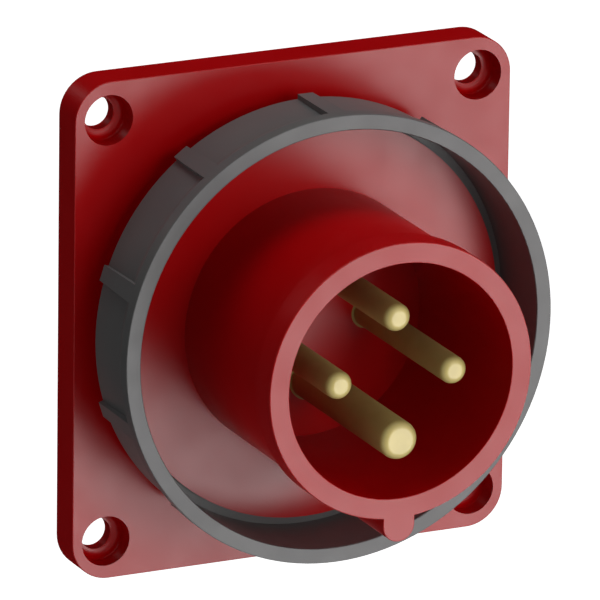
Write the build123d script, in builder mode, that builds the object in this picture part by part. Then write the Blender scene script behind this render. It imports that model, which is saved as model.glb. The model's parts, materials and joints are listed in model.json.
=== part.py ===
from build123d import *
import os
from math import cos, radians, sin, sqrt

os.makedirs("parts", exist_ok=True)

# All lengths are in millimetres. The shroud's axis is the Y axis and its mouth faces -Y.
# A name ending in _y is a height forward of the panel, which the flange's back face touches.

# Flange
flange_width = 84.3
flange_height = 91.6
flange_thickness = 6.95
flange_corner = 7.0
flange_edge = 0.15
screw_margin_x = 6.42
screw_margin_z = 6.98
screw_hole_radius = 2.9
screw_head_radius = 4.6
screw_seat_y = 2.3
screw_seat_flat = 0.136

# Boss that carries the locking ring: a collar, a neck and a rim, with the ring's lip between
floor_front_y = 13.95
rim_thickness = 1.2
neck_radius = 34.0
rim_overhang = 2.7
stop_lug_place_angle = 90.0
stop_lug_angle = 10.0
stop_lug_height = 2.0

# Shroud
shroud_inner_radius = 21.4
shroud_wall = 2.6
shroud_band_step = 1.1
shroud_band_length = 5.8
shroud_front_y = 51.65
shroud_floor_y = 14.45
shroud_floor_thickness = 4.0
shroud_edge = 0.15
key_width = 6.0
key_projection = 5.4

# Locking ring
ring_rim_gap = 1.65
ring_wall = 2.75
ring_front_y = 27.05
ring_lip_thickness = 1.3
ring_recess_depth = 1.2
ring_band_length = 2.5
ring_step_round = 5.0
ring_rib_count = 10
ring_rib_start_angle = 18.0
ring_rib_width = 2.9
ring_rib_drop = 0.35
ring_rib_draft = 1.0
ring_edge = 0.15
ring_turn_angle = 38.0
ring_radial_clearance = 0.06
ring_axial_clearance = 0.3
stop_angle_clearance = 1.0
stop_radial_clearance = 0.4

# Contacts
pin_circle_radius = 10.97
phase_radius = 2.5
phase_front_y = 50.35
phase_tip_round = 1.3
earth_radius = 3.5
earth_front_y = 51.75
earth_tip_round = 1.3
phase_barrel_radius = 4.6
earth_barrel_radius = 5.3
barrel_rear_y = -19.5
barrel_edge = 0.4
pin_root_step = 0.4
wire_bore_radius = 2.1
wire_bore_depth = 13.0

# Rubber seals
seal_width = 1.8
seal_height = 2.0
seal_round = 0.5
carrier_seal_depth = 1.7
carrier_seal_height = 2.4
gasket_margin = 6.0
gasket_width = 3.0
gasket_height = 2.2
gasket_round = 0.3

# Contact carrier behind the flange
carrier_spigot_radius = 23.7
carrier_flange_reach = 6.3
carrier_flange_thickness = 4.0
carrier_recess_depth = 3.0
carrier_arm_width = 14.5
carrier_arm_reach = 23.0
carrier_arm_round = 2.5
carrier_arm_edge = 0.4
carrier_rear_wall = 2.5
wire_entry_radius = 3.0
wire_funnel = 1.2

# Screws
terminal_thread_radius = 2.0
terminal_head_radius = 3.0
terminal_head_height = 2.0
terminal_slot_width = 0.9
terminal_slot_depth = 1.1
terminal_screw_y = -13.0
terminal_lift = 2.5
terminal_access_gap = 0.35
wire_tip_gap = 0.2
carrier_thread_radius = 1.5
carrier_head_radius = 2.8
carrier_head_height = 2.2
carrier_head_round = 0.9
carrier_slot_depth = 1.2
carrier_slot_width = 0.9
carrier_screw_depth = 7.5
carrier_screw_start_angle = 45.0
carrier_screw_gap = 0.35
carrier_hole_spare = 0.8
carrier_point = 0.5
terminal_head_edge = 0.3

# How far a tool or a joined shape runs past the face it meets
spare = 1.0
# How near an edge lies to the place it is picked by
pick_tolerance = 0.01

# Sizes that follow from the ones above
rim_radius = neck_radius + rim_overhang
ring_inner_radius = rim_radius + ring_rim_gap
ring_radius = ring_inner_radius + ring_wall
carrier_flange_radius = carrier_spigot_radius + carrier_flange_reach
gasket_inner_radius = carrier_flange_radius + gasket_margin
phase_root_radius = phase_radius + pin_root_step
earth_root_radius = earth_radius + pin_root_step
screw_x = flange_width / 2 - screw_margin_x
screw_z = flange_height / 2 - screw_margin_z
shroud_radius = shroud_inner_radius + shroud_wall
shroud_band_radius = shroud_radius + shroud_band_step
rim_rear_y = floor_front_y - rim_thickness
lip_front_y = rim_rear_y - ring_axial_clearance
ring_rear_y = lip_front_y - ring_lip_thickness
collar_front_y = ring_rear_y - ring_axial_clearance
ring_recess_radius = ring_radius - ring_recess_depth
ring_rib_radius = ring_radius - ring_rib_drop
ring_lip_radius = neck_radius + ring_radial_clearance
ring_band_rear_y = ring_front_y - ring_band_length
ring_step_length = sqrt(2 * ring_step_round * ring_recess_depth - ring_recess_depth**2)
stop_lug_radius = neck_radius + stop_lug_height
stop_notch_radius = stop_lug_radius + stop_radial_clearance
stop_notch_angle = stop_lug_angle + ring_turn_angle + 2 * stop_angle_clearance
web_rear_y = shroud_floor_y - shroud_floor_thickness
carrier_flange_rear_y = carrier_recess_depth - carrier_flange_thickness
carrier_rear_y = barrel_rear_y - carrier_rear_wall
carrier_screw_circle = (carrier_spigot_radius + carrier_flange_radius) / 2
carrier_seal_rear_y = (web_rear_y + carrier_recess_depth - carrier_seal_height) / 2
key_round = key_width / 2
key_centre = shroud_radius + key_projection - key_round
terminal_access_radius = terminal_head_radius + terminal_access_gap

# Working planes: front is seen from the mouth, axial has the radius across and forward up
front = Plane.XZ
axial = Plane((0, 0, 0), x_dir=(1, 0, 0), z_dir=(0, 0, -1))


# Flange housing: flange, ring boss, shroud and key in one moulding
with BuildPart() as flange_housing:
    with BuildSketch(front):
        RectangleRounded(flange_width, flange_height, flange_corner)
    extrude(amount=flange_thickness)
    flange_front_edges = flange_housing.faces().sort_by(Axis.Y)[0].edges()
    fillet(flange_front_edges, flange_edge)

    # Boss and shroud, turned about the shroud's axis
    with BuildSketch(axial):
        with BuildLine():
            Polyline(
                (0, web_rear_y),
                (0, shroud_floor_y),
                (shroud_inner_radius, shroud_floor_y),
                (shroud_inner_radius, shroud_front_y),
                (shroud_band_radius, shroud_front_y),
                (shroud_band_radius, shroud_front_y - shroud_band_length),
                (shroud_radius, shroud_front_y - shroud_band_length - shroud_band_step),
                (shroud_radius, floor_front_y),
                (rim_radius, floor_front_y),
                (rim_radius, rim_rear_y),
                (neck_radius, rim_rear_y),
                (neck_radius, collar_front_y),
                (rim_radius, collar_front_y),
                (rim_radius, spare),
                (carrier_spigot_radius - spare, spare),
                (carrier_spigot_radius - spare, web_rear_y),
                close=True,
            )
        make_face()
    revolve(axis=Axis.Y)

    # Key along the underside of the shroud
    with BuildSketch(front.offset(floor_front_y - spare)):
        with Locations((0, -key_centre)):
            Circle(key_round)
        with Locations((0, -(key_centre + shroud_radius - shroud_wall / 2) / 2)):
            Rectangle(key_width, key_centre - shroud_radius + shroud_wall / 2)
    extrude(amount=shroud_front_y - floor_front_y + spare)
    mouth_edges = flange_housing.faces().sort_by(Axis.Y)[0].edges()
    fillet(mouth_edges, shroud_edge)

    # Two opposite stop lugs bridge the groove and limit the turn of the ring
    lug_plane = front.offset(collar_front_y)
    with BuildSketch(lug_plane, lug_plane.rotated((0, 0, 180))):
        with BuildLine():
            lug_start = stop_lug_place_angle - stop_lug_angle / 2
            lug_outer = CenterArc((0, 0), stop_lug_radius, lug_start, stop_lug_angle)
            lug_inner = CenterArc((0, 0), neck_radius - spare, lug_start, stop_lug_angle)
            Line(lug_outer @ 0, lug_inner @ 0)
            Line(lug_outer @ 1, lug_inner @ 1)
        make_face()
    extrude(amount=rim_rear_y - collar_front_y)

    # Screw holes, each with a head recess and a rounded seat, in the flange's corners
    with BuildSketch(front):
        with GridLocations(2 * screw_x, 2 * screw_z, 2, 2):
            Circle(screw_hole_radius)
    extrude(amount=flange_thickness, mode=Mode.SUBTRACT)
    with BuildSketch(front.offset(screw_seat_y)):
        with GridLocations(2 * screw_x, 2 * screw_z, 2, 2):
            Circle(screw_head_radius)
    extrude(amount=flange_thickness, mode=Mode.SUBTRACT)
    seat_floor_edges = (
        flange_housing.edges()
        .filter_by(GeomType.CIRCLE)
        .filter_by(lambda e: abs(e.center().Y + screw_seat_y) < pick_tolerance)
        .filter_by(lambda e: abs(e.radius - screw_head_radius) < pick_tolerance)
    )
    fillet(seat_floor_edges, screw_head_radius - screw_hole_radius - screw_seat_flat)

    # Rear pocket and recess for the contact carrier
    with BuildSketch(front):
        Circle(carrier_spigot_radius)
    extrude(amount=web_rear_y, mode=Mode.SUBTRACT)
    with BuildSketch(front):
        Circle(carrier_flange_radius)
    extrude(amount=carrier_recess_depth, mode=Mode.SUBTRACT)

    # Groove for the flange gasket
    with BuildSketch(front):
        Circle(gasket_inner_radius + gasket_width)
        Circle(gasket_inner_radius, mode=Mode.SUBTRACT)
    extrude(amount=gasket_height, mode=Mode.SUBTRACT)

    # Holes for the pins' roots through the shroud's floor, with a seat behind for each seal
    with BuildSketch(front.offset(web_rear_y)):
        with PolarLocations(pin_circle_radius, 3, start_angle=0, angular_range=270):
            Circle(phase_root_radius)
        with Locations((0, -pin_circle_radius)):
            Circle(earth_root_radius)
    extrude(amount=shroud_floor_thickness, mode=Mode.SUBTRACT)
    with BuildSketch(front.offset(web_rear_y)):
        with PolarLocations(pin_circle_radius, 3, start_angle=0, angular_range=270):
            Circle(phase_root_radius + seal_width)
        with Locations((0, -pin_circle_radius)):
            Circle(earth_root_radius + seal_width)
    extrude(amount=seal_height, mode=Mode.SUBTRACT)

    # Blind holes that the carrier's screws cut their threads in
    with BuildSketch(front.offset(carrier_recess_depth)):
        with PolarLocations(carrier_screw_circle, 4, start_angle=carrier_screw_start_angle):
            Circle(carrier_thread_radius)
    extrude(amount=carrier_screw_depth + carrier_hole_spare, mode=Mode.SUBTRACT)

flange_housing.part.label = "flange_housing"
export_step(flange_housing.part, "parts/flange_housing.step")


# Locking ring: smooth band in front, ten ribs behind it and a lip that runs in the groove
with BuildPart() as locking_ring:
    with BuildSketch(axial):
        with BuildLine():
            ring_outline = Polyline(
                (ring_recess_radius, ring_band_rear_y - ring_step_length),
                (ring_recess_radius, ring_rear_y),
                (ring_lip_radius, ring_rear_y),
                (ring_lip_radius, lip_front_y),
                (ring_inner_radius, lip_front_y),
                (ring_inner_radius, ring_front_y),
                (ring_radius, ring_front_y),
                (ring_radius, ring_band_rear_y),
            )
            RadiusArc(ring_outline @ 1, ring_outline @ 0, -ring_step_round)
        make_face()
    revolve(axis=Axis.Y)
    ring_mouth_edges = locking_ring.faces().sort_by(Axis.Y)[0].edges()
    fillet(ring_mouth_edges, ring_edge)

    # Grip ribs, drafted so that they grow towards the band
    rib_root = (ring_inner_radius + ring_recess_radius) / 2
    with BuildSketch(front.offset(ring_rear_y)):
        with PolarLocations((rib_root + ring_rib_radius) / 2, ring_rib_count, start_angle=ring_rib_start_angle):
            Rectangle(ring_rib_radius - rib_root, ring_rib_width)
    extrude(amount=ring_band_rear_y - ring_rear_y + spare, taper=-ring_rib_draft)

    # Two notches in the lip, each running past a stop lug as the ring turns
    notch_start = stop_lug_place_angle - stop_lug_angle / 2 - stop_angle_clearance
    notch_plane = front.offset(ring_rear_y)
    with BuildSketch(notch_plane, notch_plane.rotated((0, 0, 180))):
        with BuildLine():
            notch_outer = CenterArc((0, 0), stop_notch_radius, notch_start, stop_notch_angle)
            notch_inner = CenterArc((0, 0), neck_radius - spare, notch_start, stop_notch_angle)
            Line(notch_outer @ 0, notch_inner @ 0)
            Line(notch_outer @ 1, notch_inner @ 1)
        make_face()
    extrude(amount=ring_lip_thickness, mode=Mode.SUBTRACT)

locking_ring.part.label = "locking_ring"
export_step(locking_ring.part, "parts/locking_ring.step")


# Contact carrier: spigot in the pocket, flange in the recess and four terminal arms behind
with BuildPart() as contact_carrier:
    with BuildSketch(axial):
        with BuildLine():
            Polyline(
                (0, web_rear_y),
                (carrier_spigot_radius, web_rear_y),
                (carrier_spigot_radius, carrier_seal_rear_y + carrier_seal_height),
                (carrier_spigot_radius - carrier_seal_depth, carrier_seal_rear_y + carrier_seal_height),
                (carrier_spigot_radius - carrier_seal_depth, carrier_seal_rear_y),
                (carrier_spigot_radius, carrier_seal_rear_y),
                (carrier_spigot_radius, carrier_recess_depth),
                (carrier_flange_radius, carrier_recess_depth),
                (carrier_flange_radius, carrier_flange_rear_y),
                (0, carrier_flange_rear_y),
                close=True,
            )
        make_face()
    revolve(axis=Axis.Y)
    with BuildSketch(front.offset(carrier_rear_y)):
        RectangleRounded(carrier_arm_width, 2 * carrier_arm_reach, carrier_arm_round)
        RectangleRounded(2 * carrier_arm_reach, carrier_arm_width, carrier_arm_round)
    extrude(amount=carrier_flange_rear_y - carrier_rear_y)
    arm_rear_edges = contact_carrier.faces().sort_by(Axis.Y)[-1].edges()
    fillet(arm_rear_edges, carrier_arm_edge)

    # Pockets for the pins' barrels, open in front
    with BuildSketch(front.offset(barrel_rear_y)):
        with PolarLocations(pin_circle_radius, 3, start_angle=0, angular_range=270):
            Circle(phase_barrel_radius)
        with Locations((0, -pin_circle_radius)):
            Circle(earth_barrel_radius)
    extrude(amount=web_rear_y - barrel_rear_y, mode=Mode.SUBTRACT)

    # Wire entries through the rear wall, each with a funnel
    with BuildSketch(front.offset(carrier_rear_y)):
        with PolarLocations(pin_circle_radius, 4):
            Circle(wire_entry_radius)
    extrude(amount=carrier_rear_wall, mode=Mode.SUBTRACT)
    with BuildSketch(front.offset(carrier_rear_y)):
        with PolarLocations(pin_circle_radius, 4):
            Circle(wire_entry_radius + wire_funnel)
    extrude(amount=wire_funnel, taper=45, mode=Mode.SUBTRACT)

    # Driver access to the terminal screws from the end of each arm
    for angle in (0, 90, 180, 270):
        outward = (cos(radians(angle)), 0, sin(radians(angle)))
        access_start = (pin_circle_radius * outward[0], -terminal_screw_y, pin_circle_radius * outward[2])
        with BuildSketch(Plane(access_start, x_dir=(0, 1, 0), z_dir=outward)):
            Circle(terminal_access_radius)
        extrude(amount=carrier_arm_reach, mode=Mode.SUBTRACT)

    with BuildSketch(front.offset(carrier_flange_rear_y)):
        with PolarLocations(carrier_screw_circle, 4, start_angle=carrier_screw_start_angle):
            Circle(carrier_thread_radius + carrier_screw_gap)
    extrude(amount=carrier_flange_thickness, mode=Mode.SUBTRACT)

contact_carrier.part.label = "contact_carrier"
export_step(contact_carrier.part, "parts/contact_carrier.step")


# Contacts, each with its seal and its terminal screw
phase_sizes = (phase_radius, phase_root_radius, phase_barrel_radius, phase_front_y, phase_tip_round)
earth_sizes = (earth_radius, earth_root_radius, earth_barrel_radius, earth_front_y, earth_tip_round)
contacts = (
    ("phase_pin_right", "right", 0, phase_sizes),
    ("phase_pin_top", "top", 90, phase_sizes),
    ("phase_pin_left", "left", 180, phase_sizes),
    ("earth_pin", "bottom", 270, earth_sizes),
)
for pin_name, place, angle, sizes in contacts:
    pin_radius, root_radius, barrel_radius, tip_y, tip_round = sizes
    outward = (cos(radians(angle)), 0, sin(radians(angle)))
    centre_x = pin_circle_radius * outward[0]
    centre_z = pin_circle_radius * outward[2]
    pin_axis = Axis((centre_x, 0, centre_z), (0, 1, 0))
    pin_plane = Plane((centre_x, 0, centre_z), x_dir=(1, 0, 0), z_dir=(0, 0, -1))
    screw_plane = Plane((centre_x, -terminal_screw_y, centre_z), x_dir=(0, 1, 0), z_dir=outward)

    # Turned pin: rounded tip, straight shank, root in the floor, barrel with the wire's bore behind
    with BuildPart() as contact_pin:
        with BuildSketch(pin_plane):
            with BuildLine():
                Polyline(
                    (0, tip_y),
                    (pin_radius, tip_y),
                    (pin_radius, shroud_floor_y),
                    (root_radius, shroud_floor_y),
                    (root_radius, web_rear_y),
                    (barrel_radius, web_rear_y),
                    (barrel_radius, barrel_rear_y),
                    (wire_bore_radius, barrel_rear_y),
                    (wire_bore_radius, barrel_rear_y + wire_bore_depth),
                    (0, barrel_rear_y + wire_bore_depth),
                    close=True,
                )
            make_face()
        revolve(axis=pin_axis)
        fillet(contact_pin.faces().sort_by(Axis.Y)[0].edges(), tip_round)
        chamfer(contact_pin.faces().sort_by(Axis.Y)[-1].edges(), barrel_edge)
        with BuildSketch(screw_plane):
            Circle(terminal_thread_radius)
        extrude(amount=barrel_radius + spare, mode=Mode.SUBTRACT)
    contact_pin.part.label = pin_name
    export_step(contact_pin.part, "parts/" + pin_name + ".step")

    # Rubber seal round the pin, pressed into its seat by the barrel's shoulder
    with BuildPart() as pin_seal:
        with BuildSketch(pin_plane):
            with Locations((root_radius + seal_width / 2, web_rear_y + seal_height / 2)):
                RectangleRounded(seal_width, seal_height, seal_round)
        revolve(axis=pin_axis)
    pin_seal.part.label = "pin_seal_" + place
    export_step(pin_seal.part, "parts/pin_seal_" + place + ".step")

    # Slotted terminal screw, turned out far enough to take a wire
    with BuildPart() as terminal_screw:
        with BuildSketch(screw_plane.offset(wire_bore_radius + wire_tip_gap)):
            Circle(terminal_thread_radius)
        extrude(amount=barrel_radius + terminal_lift - wire_bore_radius - wire_tip_gap)
        with BuildSketch(screw_plane.offset(barrel_radius + terminal_lift)):
            Circle(terminal_head_radius)
        extrude(amount=terminal_head_height)
        head_plane = screw_plane.offset(barrel_radius + terminal_lift + terminal_head_height)
        head_edges = terminal_screw.edges().filter_by(
            lambda e: abs(head_plane.to_local_coords(e.center()).Z) < pick_tolerance
        )
        chamfer(head_edges, terminal_head_edge)
        with BuildSketch(head_plane):
            Rectangle(terminal_slot_width, 2 * terminal_head_radius + spare)
        extrude(amount=-terminal_slot_depth, mode=Mode.SUBTRACT)
    terminal_screw.part.label = "terminal_screw_" + place
    export_step(terminal_screw.part, "parts/terminal_screw_" + place + ".step")


# Seal ring in the carrier's groove
with BuildPart() as carrier_seal:
    with BuildSketch(axial):
        with Locations(
            (carrier_spigot_radius - carrier_seal_depth / 2, carrier_seal_rear_y + carrier_seal_height / 2)
        ):
            RectangleRounded(carrier_seal_depth, carrier_seal_height, seal_round)
    revolve(axis=Axis.Y)
carrier_seal.part.label = "carrier_seal"
export_step(carrier_seal.part, "parts/carrier_seal.step")


# Gasket between the flange and the panel
with BuildPart() as flange_gasket:
    with BuildSketch(axial):
        with Locations((gasket_inner_radius + gasket_width / 2, gasket_height / 2)):
            RectangleRounded(gasket_width, gasket_height, gasket_round)
    revolve(axis=Axis.Y)
flange_gasket.part.label = "flange_gasket"
export_step(flange_gasket.part, "parts/flange_gasket.step")


# Slotted pan-head screws that hold the carrier in the flange housing
carrier_screw_places = (
    ("upper_right", carrier_screw_start_angle),
    ("upper_left", carrier_screw_start_angle + 90),
    ("lower_left", carrier_screw_start_angle + 180),
    ("lower_right", carrier_screw_start_angle + 270),
)
for place, angle in carrier_screw_places:
    centre = (carrier_screw_circle * cos(radians(angle)), carrier_screw_circle * sin(radians(angle)))
    with BuildPart() as carrier_screw:
        with BuildSketch(front.offset(carrier_flange_rear_y)):
            with Locations(centre):
                Circle(carrier_thread_radius)
        extrude(amount=carrier_flange_thickness + carrier_screw_depth)
        with BuildSketch(front.offset(carrier_flange_rear_y - carrier_head_height)):
            with Locations(centre):
                Circle(carrier_head_radius)
        extrude(amount=carrier_head_height)
        fillet(carrier_screw.faces().sort_by(Axis.Y)[-1].edges(), carrier_head_round)
        with BuildSketch(front.offset(carrier_flange_rear_y - carrier_head_height)):
            with Locations(Location((centre[0], centre[1], 0), (0, 0, angle))):
                Rectangle(2 * carrier_head_radius + spare, carrier_slot_width)
        extrude(amount=carrier_slot_depth, mode=Mode.SUBTRACT)
        chamfer(carrier_screw.faces().sort_by(Axis.Y)[0].edges(), carrier_point)
    carrier_screw.part.label = "carrier_screw_" + place
    export_step(carrier_screw.part, "parts/carrier_screw_" + place + ".step")
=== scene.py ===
import json
import math

import bpy
from mathutils import Matrix, Vector


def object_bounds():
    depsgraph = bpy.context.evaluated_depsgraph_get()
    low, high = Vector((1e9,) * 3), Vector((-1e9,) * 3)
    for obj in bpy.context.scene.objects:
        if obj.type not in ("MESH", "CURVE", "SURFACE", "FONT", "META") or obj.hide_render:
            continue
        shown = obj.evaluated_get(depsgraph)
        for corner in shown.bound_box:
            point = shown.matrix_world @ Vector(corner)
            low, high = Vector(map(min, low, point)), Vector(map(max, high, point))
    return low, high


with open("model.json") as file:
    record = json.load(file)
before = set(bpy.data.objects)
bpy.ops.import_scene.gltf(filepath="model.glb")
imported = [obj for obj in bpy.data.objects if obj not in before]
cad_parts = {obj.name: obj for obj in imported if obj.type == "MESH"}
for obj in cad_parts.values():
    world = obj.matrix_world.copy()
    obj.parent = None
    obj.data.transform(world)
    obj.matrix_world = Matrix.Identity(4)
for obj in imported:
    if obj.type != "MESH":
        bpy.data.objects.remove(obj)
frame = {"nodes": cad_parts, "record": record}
cad_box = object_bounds()

# The camera was worked out from the photo: a very long lens, left of and above the shroud's axis
CAMERA_TURN = math.radians(25.311)
CAMERA_RISE = math.radians(18.019)
CAMERA_ROLL = math.radians(0.775)
CAMERA_DISTANCE = 1.88933
CAMERA_AIM_RIGHT = -0.004349
CAMERA_AIM_UP = 0.000651
CAMERA_LENS = 639.6
SENSOR_WIDTH = 36.0
CLIP_START = 0.05
CLIP_END = 50.0

# The stage: the object is held by its flange, so the floor lies well below it
WHITE = (1, 1, 1, 1)
FLOOR_DROP = 0.42
FLOOR_SIZE = 9.0
FLOOR_COLOUR = (0.86, 0.86, 0.86, 1)
FLOOR_ROUGHNESS = 0.9
FLAG_DISTANCE = 0.45
FLAG_SIZE = 0.8
FLAG_COLOUR = (0.005, 0.005, 0.005, 1)

# Light: spots and sizes in metres, powers in watts
WORLD_STRENGTH = 0.17
FLOOR_GLOW = 0.95
SHEEN_LAMP_DISTANCE = 0.75
SHEEN_LAMP_SIZE = 0.36
SHEEN_LAMP_POWER = 4.15
KEY_LAMP_SPOT = Vector((0.38, -1.1, 0.3))
KEY_LAMP_SIZE = 0.8
KEY_LAMP_POWER = 5.8
TOP_LAMP_SPOT = Vector((0.12, 0.1, 1.2))
TOP_LAMP_SIZE = 0.6
TOP_LAMP_POWER = 4.6

# The part of a noise's range that is used, for roughness and for the drift between two shades
ROUGHNESS_NOISE_LOW = 0.3
ROUGHNESS_NOISE_HIGH = 0.7
SHADE_NOISE_LOW = 0.35
SHADE_NOISE_HIGH = 0.65

# Stretches a noise into fine rings across the Y axis
RINGS = (0.02, 1, 0.02)

# How each kind of surface varies. A noise is its features per metre and its octaves, and relief is
# the bump's strength and its depth in metres
MOULDED_PLASTIC = {
    "shade_noise": (45, 4),
    "roughness_noise": (160, 5),
    "relief_noise": (5200, 2),
    "relief": (0.06, 0.00008),
}
TURNED_METAL = {
    "shade_noise": (220, 4),
    "roughness_noise": (420, 5),
    "relief": (0.08, 0.00005),
}

# The record's slots: two near shades, the lowest and highest roughness, and the shader's constants
SURFACES = {
    "red_plastic": {
        **MOULDED_PLASTIC,
        "shades": ((0.455, 0.0, 0.001), (0.485, 0.0, 0.002)),
        "roughness": (0.28, 0.34),
        "constants": {"Specular IOR Level": 0.2},
    },
    "grey_plastic": {
        **MOULDED_PLASTIC,
        "shades": ((0.121, 0.121, 0.123), (0.132, 0.132, 0.13)),
        "roughness": (0.34, 0.4),
        "constants": {"Specular IOR Level": 0.21},
    },
    "dark_plastic": {
        **MOULDED_PLASTIC,
        "shades": ((0.033, 0.033, 0.036), (0.043, 0.043, 0.046)),
        "roughness": (0.45, 0.55),
        "constants": {"Specular IOR Level": 0.4},
    },
    "brass": {
        **TURNED_METAL,
        "shades": ((0.37, 0.3, 0.1), (0.4, 0.325, 0.11)),
        "roughness": (0.7, 0.76),
        "relief_noise": (2600, 2, RINGS),
        "constants": {"Metallic": 0.65, "Coat Weight": 0.45, "Coat Roughness": 0.22},
    },
    "steel": {
        **TURNED_METAL,
        "shades": ((0.3, 0.3, 0.29), (0.36, 0.36, 0.345)),
        "roughness": (0.42, 0.52),
        "relief_noise": (1500, 2, RINGS),
        "constants": {"Metallic": 1.0},
    },
    "rubber": {
        "shade_noise": (300, 4),
        "roughness_noise": (700, 4),
        "relief_noise": (3800, 2),
        "relief": (0.15, 0.0001),
        "shades": ((0.018, 0.018, 0.018), (0.028, 0.027, 0.026)),
        "roughness": (0.62, 0.8),
        "constants": {"Specular IOR Level": 0.3},
    },
}


def new_material(name):
    """A node material with only its output and its Principled shader."""
    material = bpy.data.materials.new(name)
    material.use_nodes = True
    tree = material.node_tree
    tree.nodes.clear()
    output = tree.nodes.new("ShaderNodeOutputMaterial")
    shader = tree.nodes.new("ShaderNodeBsdfPrincipled")
    tree.links.new(shader.outputs["BSDF"], output.inputs["Surface"])
    return material, tree, shader


def noise(tree, scale, detail, stretch=(1, 1, 1)):
    """Noise in object space, with scale in features per metre and detail in octaves."""
    coordinates = tree.nodes.new("ShaderNodeTexCoord")
    mapping = tree.nodes.new("ShaderNodeMapping")
    mapping.inputs["Scale"].default_value = stretch
    texture = tree.nodes.new("ShaderNodeTexNoise")
    texture.inputs["Scale"].default_value = scale
    texture.inputs["Detail"].default_value = detail
    tree.links.new(coordinates.outputs["Object"], mapping.inputs["Vector"])
    tree.links.new(mapping.outputs["Vector"], texture.inputs["Vector"])
    return texture.outputs["Fac"]


def spread(tree, value, low, high):
    """A noise's value mapped to the range from low to high."""
    mapped = tree.nodes.new("ShaderNodeMapRange")
    mapped.inputs["From Min"].default_value = ROUGHNESS_NOISE_LOW
    mapped.inputs["From Max"].default_value = ROUGHNESS_NOISE_HIGH
    mapped.inputs["To Min"].default_value = low
    mapped.inputs["To Max"].default_value = high
    tree.links.new(value, mapped.inputs["Value"])
    return mapped.outputs["Result"]


def two_tone(tree, value, first, second):
    """A colour that drifts between two near shades."""
    ramp = tree.nodes.new("ShaderNodeValToRGB")
    low, high = ramp.color_ramp.elements
    low.position = SHADE_NOISE_LOW
    low.color = (*first, 1)
    high.position = SHADE_NOISE_HIGH
    high.color = (*second, 1)
    tree.links.new(value, ramp.inputs["Fac"])
    return ramp.outputs["Color"]


def relief(tree, shader, height, strength, depth):
    """Gives a shader fine surface relief."""
    bump = tree.nodes.new("ShaderNodeBump")
    bump.inputs["Strength"].default_value = strength
    bump.inputs["Distance"].default_value = depth
    tree.links.new(height, bump.inputs["Height"])
    tree.links.new(bump.outputs["Normal"], shader.inputs["Normal"])


def surface(name, look):
    """The material of a slot, from its entry in SURFACES."""
    material, tree, shader = new_material(name)
    colour = two_tone(tree, noise(tree, *look["shade_noise"]), *look["shades"])
    roughness = spread(tree, noise(tree, *look["roughness_noise"]), *look["roughness"])
    tree.links.new(colour, shader.inputs["Base Color"])
    tree.links.new(roughness, shader.inputs["Roughness"])
    relief(tree, shader, noise(tree, *look["relief_noise"]), *look["relief"])
    for socket, value in look["constants"].items():
        shader.inputs[socket].default_value = value
    return material


materials = {slot: surface(slot, look) for slot, look in SURFACES.items()}

for part in frame["record"]["subparts"]:
    node = frame["nodes"][part["node"]]
    node.data.materials.clear()
    node.data.materials.append(materials[part["material_slot"]])


def camera_axes():
    """Right, up and back of the photo's camera in the part's frame."""
    turn, rise, roll = CAMERA_TURN, CAMERA_RISE, CAMERA_ROLL
    level_back = Vector((-math.sin(turn), -math.cos(turn), 0))
    level_right = Vector((math.cos(turn), -math.sin(turn), 0))
    back = level_back * math.cos(rise) + Vector((0, 0, math.sin(rise)))
    upright = back.cross(level_right)
    right = level_right * math.cos(roll) + upright * math.sin(roll)
    up = upright * math.cos(roll) - level_right * math.sin(roll)
    return right, up, back


def place(obj, right, up, back, spot):
    """Stands an object at spot with these three local axes."""
    obj.matrix_world = Matrix.Translation(spot) @ Matrix((right, up, back)).transposed().to_4x4()


def face_origin(obj, spot):
    """Stands a lamp or a flag at spot, with its back away from the frame's origin."""
    back = spot.normalized()
    side = Vector((0, 0, 1)).cross(back).normalized()
    place(obj, side, back.cross(side), back, spot)


right, up, back = camera_axes()
camera = bpy.data.objects.new("camera", bpy.data.cameras.new("camera"))
bpy.context.collection.objects.link(camera)
camera_spot = back * CAMERA_DISTANCE - right * CAMERA_AIM_RIGHT - up * CAMERA_AIM_UP
place(camera, right, up, back, camera_spot)
camera.data.sensor_width = SENSOR_WIDTH
camera.data.lens = CAMERA_LENS
camera.data.clip_start = CLIP_START
camera.data.clip_end = CLIP_END
bpy.context.scene.camera = camera


def lamp(name, spot, size, power):
    """A soft square lamp, unseen by the camera."""
    data = bpy.data.lights.new(name, "AREA")
    data.shape = "SQUARE"
    data.size = size
    data.energy = power
    obj = bpy.data.objects.new(name, data)
    bpy.context.collection.objects.link(obj)
    face_origin(obj, spot)
    obj.visible_camera = False
    return obj


# The sheen lamp stands where faces that look along -Y mirror it to the camera, low and to the right
mirrored = Vector((-back.x, back.y, -back.z))
sheen_lamp = lamp(
    "sheen_lamp", mirrored * SHEEN_LAMP_DISTANCE, SHEEN_LAMP_SIZE, SHEEN_LAMP_POWER
)
sheen_lamp.visible_diffuse = False
lamp("key_lamp", KEY_LAMP_SPOT, KEY_LAMP_SIZE, KEY_LAMP_POWER)
lamp("top_lamp", TOP_LAMP_SPOT, TOP_LAMP_SIZE, TOP_LAMP_POWER)


def seen_directly(tree):
    """1 for what the camera, a reflection or glass sees, and 0 for scattered light."""
    path = tree.nodes.new("ShaderNodeLightPath")
    seen = path.outputs["Is Camera Ray"]
    for ray in ("Is Glossy Ray", "Is Transmission Ray"):
        either = tree.nodes.new("ShaderNodeMath")
        either.operation = "MAXIMUM"
        tree.links.new(seen, either.inputs[0])
        tree.links.new(path.outputs[ray], either.inputs[1])
        seen = either.outputs[0]
    return seen


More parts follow.
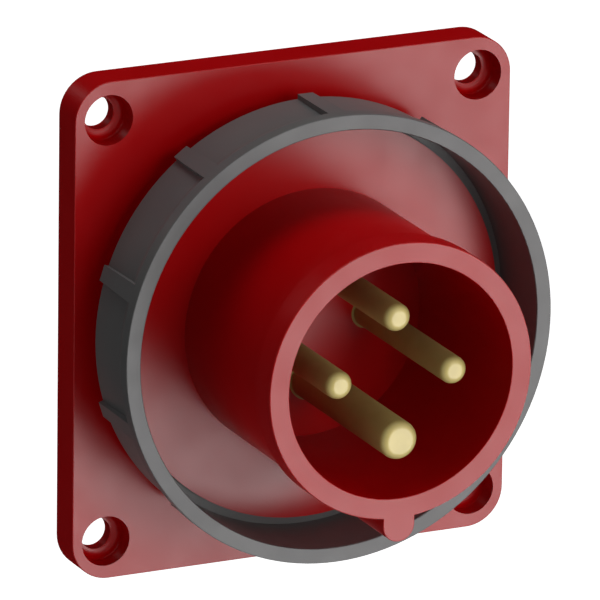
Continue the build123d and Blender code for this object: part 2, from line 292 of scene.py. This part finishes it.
# World: plain soft light all round, and white where it is seen directly
world = bpy.data.worlds.new("studio")
bpy.context.scene.world = world
world.use_nodes = True
sky = world.node_tree
sky.nodes.clear()
ambient = sky.nodes.new("ShaderNodeBackground")
ambient.inputs["Color"].default_value = WHITE
ambient.inputs["Strength"].default_value = WORLD_STRENGTH
backdrop = sky.nodes.new("ShaderNodeBackground")
backdrop.inputs["Color"].default_value = WHITE
choice = sky.nodes.new("ShaderNodeMixShader")
sky_output = sky.nodes.new("ShaderNodeOutputWorld")
sky.links.new(seen_directly(sky), choice.inputs[0])
sky.links.new(ambient.outputs["Background"], choice.inputs[1])
sky.links.new(backdrop.outputs["Background"], choice.inputs[2])
sky.links.new(choice.outputs["Shader"], sky_output.inputs["Surface"])

# Floor: plain, pale and matt, with a glow that makes it white where it is seen directly
lowest = cad_box[0][2]
bpy.ops.mesh.primitive_plane_add(size=FLOOR_SIZE, location=(0, 0, lowest - FLOOR_DROP))
floor = bpy.context.object
floor.name = "floor"
floor_material, floor_tree, floor_shader = new_material("pale_floor")
floor_shader.inputs["Base Color"].default_value = FLOOR_COLOUR
floor_shader.inputs["Roughness"].default_value = FLOOR_ROUGHNESS
floor_shader.inputs["Specular IOR Level"].default_value = 0.0
glow = floor_tree.nodes.new("ShaderNodeEmission")
glow.inputs["Strength"].default_value = FLOOR_GLOW
gate = floor_tree.nodes.new("ShaderNodeMixShader")
total = floor_tree.nodes.new("ShaderNodeAddShader")
floor_output = floor_tree.nodes["Material Output"]
floor_tree.links.new(seen_directly(floor_tree), gate.inputs[0])
floor_tree.links.new(glow.outputs["Emission"], gate.inputs[2])
floor_tree.links.new(floor_shader.outputs["BSDF"], total.inputs[0])
floor_tree.links.new(gate.outputs["Shader"], total.inputs[1])
floor_tree.links.new(total.outputs["Shader"], floor_output.inputs["Surface"])
floor.data.materials.append(floor_material)

# Black flags that only reflections see: they keep the flange's edges as deep in tone as the photo's
flag_material, flag_tree, flag_shader = new_material("black_flag")
flag_shader.inputs["Base Color"].default_value = FLAG_COLOUR
flag_shader.inputs["Specular IOR Level"].default_value = 0.0
flag_sides = {
    "left_flag": Vector((back.x, -back.y, -back.z)),
    "rear_flag": Vector((-back.x, -back.y, back.z)),
}
for name, side in flag_sides.items():
    bpy.ops.mesh.primitive_plane_add(size=FLAG_SIZE)
    flag = bpy.context.object
    flag.name = name
    face_origin(flag, side * FLAG_DISTANCE)
    flag.data.materials.append(flag_material)
    flag.visible_camera = False
    flag.visible_diffuse = False
    flag.visible_shadow = False

bpy.context.scene.view_settings.view_transform = "Standard"
